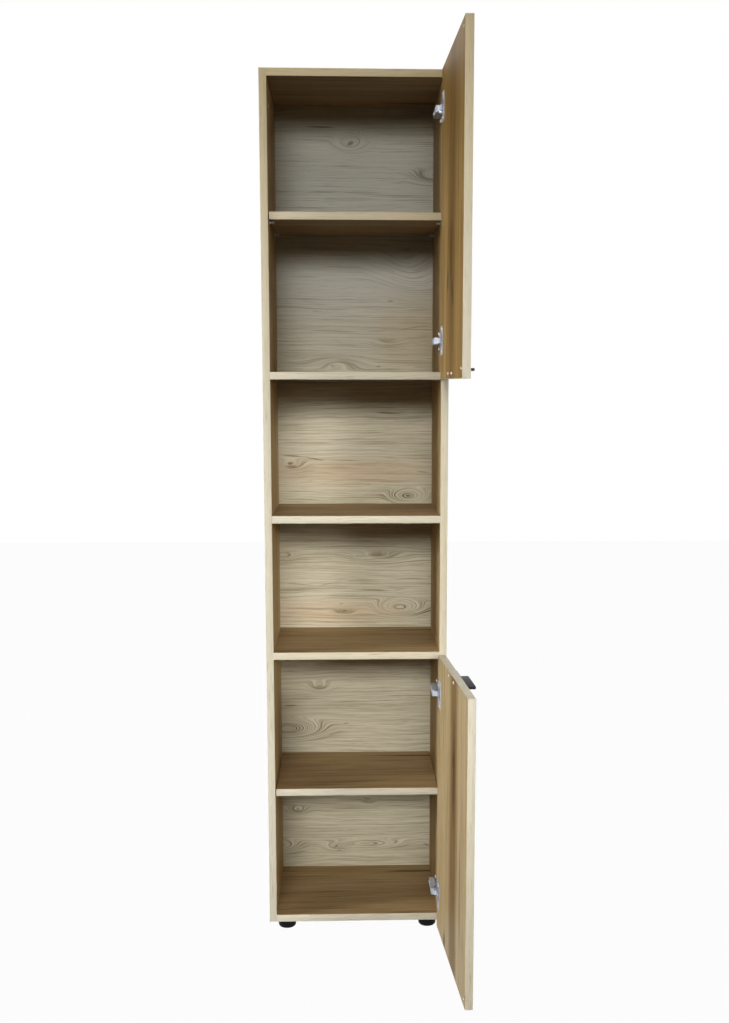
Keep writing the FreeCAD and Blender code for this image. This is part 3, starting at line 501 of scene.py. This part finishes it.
nickel = speckled("nickel", tone(196, 202, 214), tone(176, 182, 194), 0.42, 0.35, 300)
plateNickel = speckled("plateNickel", tone(176, 177, 180), tone(150, 150, 154), 0.30, 0.9, 300)
zinc = speckled("zinc", tone(220, 220, 218), tone(196, 196, 194), 0.32, 0.7, 700)
blackPaint = speckled("blackPaint", tone(10, 10, 11), tone(17, 17, 18), 0.5, 0.0, 1800, 0.2, 0.25)
blackPlastic = speckled("blackPlastic", tone(7, 7, 8), tone(13, 13, 14), 0.6, 0.0, 900, 0.12, 0.3)
clearBumper = speckled("clearBumper", tone(196, 178, 142), tone(182, 164, 128), 0.3, 0.0, 500, 0.5, 0.05)
plugPlastic = speckled("plugPlastic", tone(206, 192, 160), tone(190, 176, 144), 0.45, 0.0, 600, 0.5, 0.05)
print("materials ready")


# boards and doors keep the frame's shapes; the rest is zinc until it is dressed or replaced below

boards = {
    "back_panel": backOak,
    "left_side_panel": sideOak, "right_side_panel": sideOak,
    "top_panel": shelfOak, "bottom_panel": shelfOak,
    "fixed_shelf_upper": shelfOak, "fixed_shelf_middle": shelfOak, "fixed_shelf_lower": shelfOak,
    "adjustable_shelf_upper": shelfOak, "adjustable_shelf_lower": shelfOak,
    "upper_door": upperDoorOak, "lower_door": lowerDoorOak,
}
for name, node in nodes.items():
    dress(node, boards.get(name, zinc))
print("boards dressed")


# turned pieces: a disc is drawn out step by step, as a lathe would leave it

def turnedPiece(name, steps, sides=32, rounding=0.0, bored=False):
    # steps are (place along the axis, radius) in metres
    deselectAll()
    start, radius = steps[0]
    bpy.ops.mesh.primitive_circle_add(vertices=sides, radius=radius, fill_type="NGON", location=(0, 0, start))
    piece = bpy.context.object
    piece.name = name
    applyPlace(piece)
    pick(piece)
    bpy.ops.object.mode_set(mode="EDIT")
    bpy.ops.mesh.select_all(action="SELECT")
    for step, wide in steps[1:]:
        bpy.ops.mesh.extrude_region_move(TRANSFORM_OT_translate={"value": (0, 0, step - start)})
        share = wide / radius
        bpy.ops.transform.resize(value=(share, share, 1), center_override=(0, 0, 0))
        start, radius = step, wide
    if bored:
        # the axis hole goes right through: both end discs go and their rims are joined
        selectFaces(piece, lambda centre, normal: abs(centre.x) + abs(centre.y) < 1e-6
                    and abs(centre.z - steps[0][0]) < 1e-6)
        bpy.ops.mesh.delete(type="FACE")
        done()
        pick(piece)
        bpy.ops.object.mode_set(mode="EDIT")
        bpy.ops.mesh.select_mode(type="EDGE")
        bpy.ops.mesh.select_all(action="DESELECT")
        bpy.ops.mesh.select_non_manifold(extend=False, use_wire=False, use_multi_face=False,
                                         use_non_contiguous=False, use_verts=False)
        bpy.ops.mesh.bridge_edge_loops()
    bpy.ops.mesh.select_all(action="SELECT")
    bpy.ops.mesh.normals_make_consistent(inside=False)
    done()
    if rounding:
        soften(piece, rounding)
    else:
        bpy.ops.object.shade_smooth_by_angle(angle=math.radians(35))
    return piece


def placed(spot, towards, side=0.0):
    # a matrix that puts a turned piece's base on a spot, its shank pointing the given way
    turn = Vector((0, 0, -1)).rotation_difference(Vector(towards)).to_matrix().to_4x4()
    return Matrix.Translation(spot) @ turn @ Matrix.Rotation(side, 4, "Z")


def cutWith(piece, cutter):
    pick(piece)
    cut = piece.modifiers.new("recess", "BOOLEAN")
    cut.operation = "DIFFERENCE"
    cut.solver = "EXACT"
    cut.object = cutter
    bpy.ops.object.modifier_apply(modifier="recess")
    bpy.data.objects.remove(cutter)


def crossCutter(wide, thick, top, deep):
    # two crossed wedges, narrower at the bottom, as a cross-head driver's tip
    wedges = []
    for turn in (0, 90):
        deselectAll()
        bpy.ops.mesh.primitive_cube_add(size=1, location=(0, 0, top - deep / 2 + 0.0001))
        wedge = bpy.context.object
        wedge.scale = (wide, thick, deep + 0.0002)
        applyPlace(wedge)
        edit(wedge)
        selectFaces(wedge, lambda centre, normal: normal.z < -0.9)
        bpy.ops.transform.resize(value=(0.45, 0.8, 1), center_override=(0, 0, 0))
        bpy.ops.mesh.select_all(action="SELECT")
        bpy.ops.transform.rotate(value=math.radians(turn), orient_axis="Z", center_override=(0, 0, 0))
        done()
        wedges.append(wedge)
    return wedges


def crossScrew(name, look):
    # a round-headed screw with a cross recess; the head's underside is at zero
    head, tall, shank, reach = look["head"], look["tall"], look["shank"], look["reach"]
    piece = turnedPiece(name, [(tall, head * 0.62), (tall * 0.86, head * 0.84), (tall * 0.5, head), (0, head),
                               (0, shank), (-reach + shank, shank), (-reach, shank * 0.35)], 28)
    for wedge in crossCutter(head * 1.15, head * 0.27, tall, tall * 0.72):
        cutWith(piece, wedge)
    pick(piece)
    bpy.ops.object.shade_smooth_by_angle(angle=math.radians(35))
    return piece


def socketScrew(name, look):
    # a joint screw: flat head with a six-sided socket, thick shank; the head's face is at zero
    head, deep, shank, reach = look["head"], look["deep"], look["shank"], look["reach"]
    piece = turnedPiece(name, [(0, head - 0.0004), (-0.0004, head), (-deep, head), (-deep, shank),
                               (-reach + shank, shank), (-reach, shank * 0.3)], 28)
    deselectAll()
    bpy.ops.mesh.primitive_cylinder_add(vertices=6, radius=look["socket"], depth=0.006,
                                        location=(0, 0, 0.0005))
    cutter = bpy.context.object
    applyPlace(cutter)
    cutWith(piece, cutter)
    pick(piece)
    bpy.ops.object.shade_smooth_by_angle(angle=math.radians(35))
    return piece


def spread(master, name, places, material, slot, body, replaced):
    # copies of one master at every place, kept as one piece
    made = joined([copied(master, place) for place in places], name)
    return finishPiece(made, material, body, replaced)


carcass = {"front": -0.1475, "inner": 0.184, "outer": 0.200, "back": 0.1475, "low": 0.025, "high": 1.891,
           "board": 0.016, "insideShelf": 0.182, "shelfSetBack": 0.003}
# a door in its own place: hinge axis at zero, outer face towards minus y
doorEdges = {"free": -0.3889, "hung": 0.0071, "face": -0.007, "rear": 0.009}
doorPlaces = {}
doorSizes = {"upper": {"low": 1.253, "tall": 0.638, "hinges": (0.081, 0.557)},
             "lower": {"low": 0.013, "tall": 0.634, "hinges": (0.085, 0.549)}}
for name, size in doorSizes.items():
    joint = joints[name + "_door_hinge"]
    doorPlaces[name] = (Matrix.Translation((joint["pos_m"][0], joint["pos_m"][1], size["low"]))
                        @ Matrix.Rotation(math.radians(-joint["range_deg"][0]), 4, "Z"))
hingeLevels = [1.810, 1.334, 0.562, 0.098]
boardLevels = [0.033, 0.645, 0.949, 1.260, 1.883]
root = bodyOf["left_side_panel"]

# screws
screwLooks = {
    "plate": {"head": 0.0036, "tall": 0.0020, "shank": 0.0020, "reach": 0.0140},
    "arm": {"head": 0.0036, "tall": 0.0016, "shank": 0.00195, "reach": 0.0110},
    "cup": {"head": 0.0034, "tall": 0.0014, "shank": 0.0017, "reach": 0.0110},
    "handle": {"head": 0.0032, "tall": 0.0020, "shank": 0.0020, "reach": 0.0184},
    "foot": {"head": 0.0039, "tall": 0.0032, "shank": 0.0020, "reach": 0.0280},
    "joint": {"head": 0.0049, "deep": 0.0040, "shank": 0.00345, "reach": 0.0500, "socket": 0.0023},
}
masters = {kind: (socketScrew if kind == "joint" else crossScrew)(kind + "Screw", look)
           for kind, look in screwLooks.items()}
front, inner, outer = carcass["front"], carcass["inner"], carcass["outer"]
screwSpots = {"plate": 0.037, "plateSides": (-0.016, 0.016), "arm": (0.030, 0.046), "joint": (0.050, 0.242),
              "cup": -0.0244, "cupEars": (-0.024, 0.024), "handle": (-0.2129, -0.1489), "handleEdge": 0.0105}
footSpots = [(x, y) for x in (-0.162, 0.162) for y in (-0.1095, 0.1095)]
spread(masters["plate"], "plateScrews",
       [placed((inner - 0.002, front + screwSpots["plate"], level + side), (1, 0, 0), side * 40)
        for level in hingeLevels for side in screwSpots["plateSides"]],
       zinc, "screw_steel", root, ["hinge_plate_screws"])
spread(masters["arm"], "armScrews",
       [placed((inner - 0.016, front + back, level), (1, 0, 0), back * 30 + level)
        for level in hingeLevels for back in screwSpots["arm"]],
       zinc, "screw_steel", root, ["hinge_arm_screws"])
spread(masters["foot"], "footScrews", [placed((x, y, 0.009), (0, 0, 1), x * 9 + y * 5) for x, y in footSpots],
       zinc, "screw_steel", root, ["foot_screws"])
spread(masters["joint"], "jointScrews",
       [placed((side * outer, front + back, level), (-side, 0, 0), level * 3 + back)
        for side in (-1, 1) for level in boardLevels for back in screwSpots["joint"]],
       zinc, "screw_steel", root, ["joint_screws"])
for name, size in doorSizes.items():
    place = doorPlaces[name]
    grip = screwSpots["handleEdge"] if name == "upper" else size["tall"] - screwSpots["handleEdge"]
    spread(masters["cup"], name + "CupScrews",
           [place @ placed((screwSpots["cup"], 0.010, hinge + ear), (0, -1, 0), hinge * 7 + ear * 40)
            for hinge in size["hinges"] for ear in screwSpots["cupEars"]],
           zinc, "screw_steel", bodyOf[name + "_door"], [name + "_cup_screws"])
    spread(masters["handle"], name + "HandleScrews",
           [place @ placed((x, doorEdges["rear"], grip), (0, -1, 0), x * 11) for x in screwSpots["handle"]],
           zinc, "screw_steel", bodyOf[name + "_door"], [name + "_handle_screws"])
for master in masters.values():
    bpy.data.objects.remove(master)
print("screws ready")

# nails of the back panel: flat heads, pointed shanks
nailLook = {"head": 0.0026, "cap": 0.0008, "shank": 0.0009, "straight": 0.0125, "reach": 0.0150,
            "count": 6, "ends": 0.060, "sides": (-0.192, 0.192)}
nail = turnedPiece("nail", [
    (nailLook["cap"], nailLook["head"] - 0.0003), (nailLook["cap"] * 0.4, nailLook["head"]),
    (0, nailLook["head"]), (0, nailLook["shank"]), (-nailLook["straight"], nailLook["shank"]),
    (-nailLook["reach"], 0.0002)], 20)
nailStep = (carcass["high"] - carcass["low"] - nailLook["ends"] * 2) / (nailLook["count"] - 1)
nailSpots = [(x, carcass["low"] + nailLook["ends"] + nailStep * i)
             for i in range(nailLook["count"]) for x in nailLook["sides"]]
nailSpots += [(0, level) for level in boardLevels]
spread(nail, "backNails", [placed((x, carcass["back"], z), (0, -1, 0)) for x, z in nailSpots],
       zinc, "screw_steel", root, ["back_panel_nails"])
bpy.data.objects.remove(nail)

# shelf pins, each with its collar in the gap beside the shelf
pinLook = {"radius": 0.0025, "collar": 0.0035, "sunk": 0.009, "gap": 0.0015, "out": 0.011,
           "backs": (0.037, 0.255), "levels": {"upper": 1.5835, "lower": 0.3200}}
pin = turnedPiece("shelfPin", [
    (-pinLook["sunk"], pinLook["radius"] - 0.0005), (-pinLook["sunk"] + 0.0005, pinLook["radius"]),
    (0, pinLook["radius"]), (0, pinLook["collar"]), (pinLook["gap"], pinLook["collar"]),
    (pinLook["gap"], pinLook["radius"]), (pinLook["out"] - 0.0008, pinLook["radius"]),
    (pinLook["out"], pinLook["radius"] - 0.0008)], 24)
for name, level in pinLook["levels"].items():
    spread(pin, name + "ShelfPins",
           [placed((side * inner, front + back, level), (side, 0, 0))
            for side in (-1, 1) for back in pinLook["backs"]],
           nickel, "pin_steel", root, [name + "_shelf_pins"])
bpy.data.objects.remove(pin)

# pins of the hinges: name, half length, place, levels, node
rodLook = {"radius": 0.00125, "chamfer": 0.0003}
for name, half, (x, y), levels, node in (
        ("armPins", 0.0072, (0.17097, front - 0.01031), hingeLevels, "hinge_arm_pins"),
        ("upperCupPins", 0.0057, (0.18564, -0.16418), hingeLevels[:2], "upper_cup_pins"),
        ("lowerCupPins", 0.0057, (0.18564, -0.16418), hingeLevels[2:], "lower_cup_pins")):
    radius, chamfer = rodLook["radius"], rodLook["chamfer"]
    rod = turnedPiece("rod", [(-half, radius - chamfer), (-half + chamfer, radius),
                              (half - chamfer, radius), (half, radius - chamfer)], 20)
    spread(rod, name, [Matrix.Translation((x, y, level)) for level in levels],
           nickel, "pin_steel", bodyOf[node], [node])
    bpy.data.objects.remove(rod)

# bumpers with a domed face, and the cover plug
bumperLook = {"radius": 0.0030, "thick": 0.0026, "edge": 0.011, "end": 0.019}
bumper = turnedPiece("bumper", [
    (0, bumperLook["radius"] - 0.0002), (0.0003, bumperLook["radius"]), (0.0016, bumperLook["radius"]),
    (0.0021, 0.00265), (0.0024, 0.0021), (bumperLook["thick"], 0.0012)], 32)
bumperAcross = doorEdges["free"] + bumperLook["edge"]
for name, size in doorSizes.items():
    spread(bumper, name + "Bumpers",
           [doorPlaces[name] @ placed((bumperAcross, doorEdges["rear"], z), (0, -1, 0))
            for z in (bumperLook["end"], size["tall"] - bumperLook["end"])],
           clearBumper, "bumper", bodyOf[name + "_door"], [name + "_door_bumpers"])
bpy.data.objects.remove(bumper)
plugLook = {"stem": 0.0025, "head": 0.0038, "sunk": 0.007, "high": 0.0012, "back": 0.060, "level": 1.826}
plug = turnedPiece("plug", [
    (-plugLook["sunk"], 0.0018), (-0.0060, plugLook["stem"]), (0, plugLook["stem"]), (0, plugLook["head"]),
    (0.0004, plugLook["head"]), (0.0009, 0.0034), (plugLook["high"], 0.0026)], 32)
spread(plug, "coverPlug", [placed((-inner, front + plugLook["back"], plugLook["level"]), (-1, 0, 0))],
       plugPlastic, "plug", root, ["side_cover_plug"])
bpy.data.objects.remove(plug)
print("pins, bumpers and plug ready")

# feet: hollow from below, with a boss round the screw
footLook = {"top": 0.0215, "base": 0.0185, "wall": 0.0026, "high": 0.025, "deck": 0.0215, "boss": 0.006,
            "bore": 0.0022, "seat": 0.009}
foot = turnedPiece("foot", [
    (footLook["high"], footLook["top"]), (0.020, footLook["top"]), (0.003, footLook["base"] + 0.0012),
    (0, footLook["base"] - 0.0015), (0, footLook["base"] - 0.0015 - footLook["wall"]),
    (footLook["deck"], footLook["top"] - footLook["wall"] - 0.0012),
    (footLook["deck"], footLook["boss"] + 0.0005), (footLook["seat"], footLook["boss"]),
    (footLook["seat"], footLook["bore"]), (footLook["high"], footLook["bore"])],
    64, rounding=0.0004, bored=True)
footNames = ["foot_front_left", "foot_rear_left", "foot_front_right", "foot_rear_right"]
for node, (x, y) in zip(footNames, footSpots):
    made = copied(foot, Matrix.Translation((x, y, 0)))
    made.name = node.replace("_", "") + "Piece"
    finishPiece(made, blackPlastic, bodyOf[node], [node])
bpy.data.objects.remove(foot)
print("feet ready")

# handles: a leg screwed to the door, a lip pulled out of its lower edge
handleLook = {"long": 0.097, "middle": -0.1809, "face": -0.007, "leg": 0.003, "tall": 0.018, "edge": 0.003,
              "out": 0.028, "thick": 0.0055, "corner": 0.0035, "rounding": 0.0008}


def makeHandle(look, doorTall):
    deselectAll()
    top = doorTall - look["edge"]
    low = top - look["tall"]
    centre = (look["middle"], look["face"] - look["leg"] / 2, (top + low) / 2)
    bpy.ops.mesh.primitive_cube_add(size=1, location=centre)
    piece = bpy.context.object
    piece.name = "handle"
    piece.scale = (look["long"], look["leg"], look["tall"])
    applyPlace(piece)
    edit(piece)
    bpy.ops.mesh.select_all(action="SELECT")
    bpy.ops.mesh.bisect(plane_co=(0, 0, low + look["thick"]), plane_no=(0, 0, 1))
    selectFaces(piece, lambda centre, normal: normal.y < -0.9 and centre.z < low + look["thick"])
    bpy.ops.mesh.extrude_region_move(TRANSFORM_OT_translate={"value": (0, look["leg"] - look["out"], 0)})
    tip = look["face"] - look["out"] + 0.001
    selectEdges(piece, lambda a, b: a.y < tip and b.y < tip and abs(a.z - b.z) > 0.001)
    bpy.ops.mesh.bevel(offset=look["corner"], segments=6, affect="EDGES")
    done()
    soften(piece, look["rounding"], 3)
    return piece


handle = makeHandle(handleLook, doorSizes["lower"]["tall"])
mirror = Matrix.Translation((0, 0, doorSizes["lower"]["tall"])) @ Matrix.Scale(-1, 4, (0, 0, 1))
for name, place in (("lower", doorPlaces["lower"]), ("upper", doorPlaces["upper"] @ mirror)):
    made = copied(handle, place)
    made.name = name + "Handle"
    edit(made)
    bpy.ops.mesh.select_all(action="SELECT")
    bpy.ops.mesh.normals_make_consistent(inside=False)
    done()
    finishPiece(made, blackPaint, bodyOf[name + "_door"], [name + "_handle"])
bpy.data.objects.remove(handle)
print("handles ready")

# pressed parts of the hinges keep the frame's shapes too
for place in ("upper_top", "upper_bottom", "lower_top", "lower_bottom"):
    for part, material in (("cup", nickel), ("arm", nickel), ("plate", plateNickel), ("link", nickel)):
        dress(nodes["%s_hinge_%s" % (place, part)], material)
print("hinges ready")

# edge bands: thin strips with their edges rounded
bandSizes = {"thick": 0.001, "rounding": 0.0003, "shelves": (0.3225, 1.586)}


def strip(low, high, place=Matrix.Identity(4)):
    deselectAll()
    low, high = Vector(low), Vector(high)
    bpy.ops.mesh.primitive_cube_add(size=1, location=(low + high) / 2)
    piece = bpy.context.object
    piece.scale = high - low
    applyPlace(piece)
    soften(piece, bandSizes["rounding"])
    piece.data.transform(place)
    return piece


def bandPiece(name, strips, material, node):
    finishPiece(joined(strips, name), material, bodyOf[node], [node])


thick = bandSizes["thick"]
board, half = carcass["board"], carcass["board"] / 2
shelfHalf, shelfFront = carcass["insideShelf"], front + carcass["shelfSetBack"]
bandPiece("uprightBands", [
    strip((x, front, carcass["low"]), (x + board, front + thick, carcass["high"])) for x in (-outer, inner)],
    bandUpright, "carcass_edge_bands")
bandPiece("crossBands", [
    strip((-inner, front, level - half), (inner, front + thick, level + half)) for level in boardLevels],
    bandAcross, "carcass_edge_bands")
bandPiece("shelfBands", [
    strip((-shelfHalf, shelfFront, low), (shelfHalf, shelfFront + thick, low + board))
    for low in bandSizes["shelves"]], bandAcross, "adjustable_shelf_edge_bands")
for name, size in doorSizes.items():
    free, hung, face, rear = [doorEdges[edge] for edge in ("free", "hung", "face", "rear")]
    tall, place = size["tall"], doorPlaces[name]
    bandPiece(name + "DoorBands", [
        strip((free, face, 0), (free + thick, rear, tall), place),
        strip((hung - thick, face, 0), (hung, rear, tall), place),
        strip((free + thick, face, 0), (hung - thick, rear, thick), place),
        strip((free + thick, face, tall - thick), (hung - thick, rear, tall), place)],
        bandUpright, name + "_door_edge_bands")
print("bands ready")


# studio: pale floor, white surroundings, one wide soft panel high in front, a small one at
# each side, and two that light the back

studio = {"floorSize": 14, "floorSeen": 0.97, "ambient": 0.006}
lamps = {
    "key": {"power": 48, "size": (7.0, 1.4), "place": (-0.2, -7.3, 3.1),
            "target": (0.3, 0, 0.55), "spread": 36},
    "left": {"power": 14, "size": (1.2, 1.2), "place": (-4.6, -1.1, 1.95),
             "target": (0.19, -0.35, 0.70), "spread": 50},
    "right": {"power": 7, "size": (1.6, 1.2), "place": (4.2, -5.6, 2.1),
              "target": (-0.18, 0, 0.55), "spread": 30},
    "backLeft": {"power": 110, "size": (2.0, 2.0), "place": (-2.8, 3.6, 1.7),
                 "target": (0, 0, 0.9)},
    "backRight": {"power": 120, "size": (2.0, 2.0), "place": (3.4, 2.6, 2.2),
                  "target": (0, 0, 0.9)},
}


def directlySeen(tree):
    # 1 where the lens, gloss or glass looks at the surface
    path = tree.nodes.new("ShaderNodeLightPath")
    seen = calc(tree, "MAXIMUM", path.outputs["Is Camera Ray"], path.outputs["Is Glossy Ray"])
    return calc(tree, "MAXIMUM", seen, path.outputs["Is Transmission Ray"])


def whiteForCamera(tree, shaderOut, share, output):
    # what the lens, gloss and glass see is mostly plain white
    white = add(tree, "Emission", {"Color": (1, 1, 1, 1), "Strength": 1.0})
    factor = calc(tree, "MULTIPLY", directlySeen(tree), share)
    mixed = add(tree, "MixShader", {0: factor, 1: shaderOut, 2: white})
    tree.links.new(mixed, output)


def makeLamp(name, look):
    light = bpy.data.lights.new(name, "AREA")
    light.shape = "RECTANGLE"
    light.size, light.size_y = look["size"]
    light.energy = look["power"]
    light.spread = math.radians(look.get("spread", 180))
    lamp = bpy.data.objects.new(name, light)
    lamp.location = look["place"]
    aim = Vector(look["target"]) - lamp.location
    lamp.rotation_euler = aim.to_track_quat("-Z", "Y").to_euler()
    bpy.context.scene.collection.objects.link(lamp)


def makeStudio():
    world = bpy.data.worlds.new("studio")
    bpy.context.scene.world = world
    world.use_nodes = True
    tree = world.node_tree
    tree.nodes.clear()
    output = tree.nodes.new("ShaderNodeOutputWorld")
    dim = add(tree, "Background", {"Color": (1, 1, 1, 1), "Strength": studio["ambient"]})
    white = add(tree, "Background", {"Color": (1, 1, 1, 1), "Strength": 1.0})
    tree.links.new(add(tree, "MixShader", {0: directlySeen(tree), 1: dim, 2: white}), output.inputs[0])

    deselectAll()
    bpy.ops.mesh.primitive_plane_add(size=studio["floorSize"], location=(0, 0, 0))
    floor = bpy.context.object
    floor.name = "floor"
    material, tree, shader = newMaterial("floorPaint", 0.9, 0.0, 0.1)
    grain = noise(tree, add(tree, "TexCoord", {}, output=3), 40, 2.0, 0.5)
    colour = blendColour(tree, grain, tone(102, 102, 102), tone(98, 98, 99))
    tree.links.new(colour, shader.inputs["Base Color"])
    whiteForCamera(tree, shader.outputs[0], studio["floorSeen"], tree.nodes["Material Output"].inputs[0])
    floor.data.materials.append(material)
    for name, look in lamps.items():
        makeLamp(name, look)


makeStudio()
bpy.context.scene.view_settings.view_transform = "Standard"

# the photograph's view: lens centre, turn and lens of the camera that took it
cameraView = {"place": (-0.01919, -2.87048, 1.24388), "yaw": 2.074, "pitch": -8.383, "roll": 0.072,
              "focalPixels": 1251.66, "centreX": 392.5, "centreY": 567.86, "wide": 729, "high": 1023}


def makeCamera():
    lens = bpy.data.cameras.new("camera")
    lens.sensor_width = 36
    lens.lens = cameraView["focalPixels"] * lens.sensor_width / cameraView["high"]
    lens.shift_x = (cameraView["wide"] / 2 - cameraView["centreX"]) / cameraView["high"]
    lens.shift_y = (cameraView["centreY"] - cameraView["high"] / 2) / cameraView["high"]
    lens.clip_start = 0.05
    camera = bpy.data.objects.new("camera", lens)
    turn = Matrix.Rotation(math.radians(-cameraView["yaw"]), 4, "Z")
    turn = turn @ Matrix.Rotation(math.radians(90 + cameraView["pitch"]), 4, "X")
    turn = turn @ Matrix.Rotation(math.radians(cameraView["roll"]), 4, "Z")
    camera.matrix_world = Matrix.Translation(cameraView["place"]) @ turn
    bpy.context.scene.collection.objects.link(camera)
    bpy.context.scene.camera = camera


makeCamera()
print("studio and camera ready")

deselectAll()
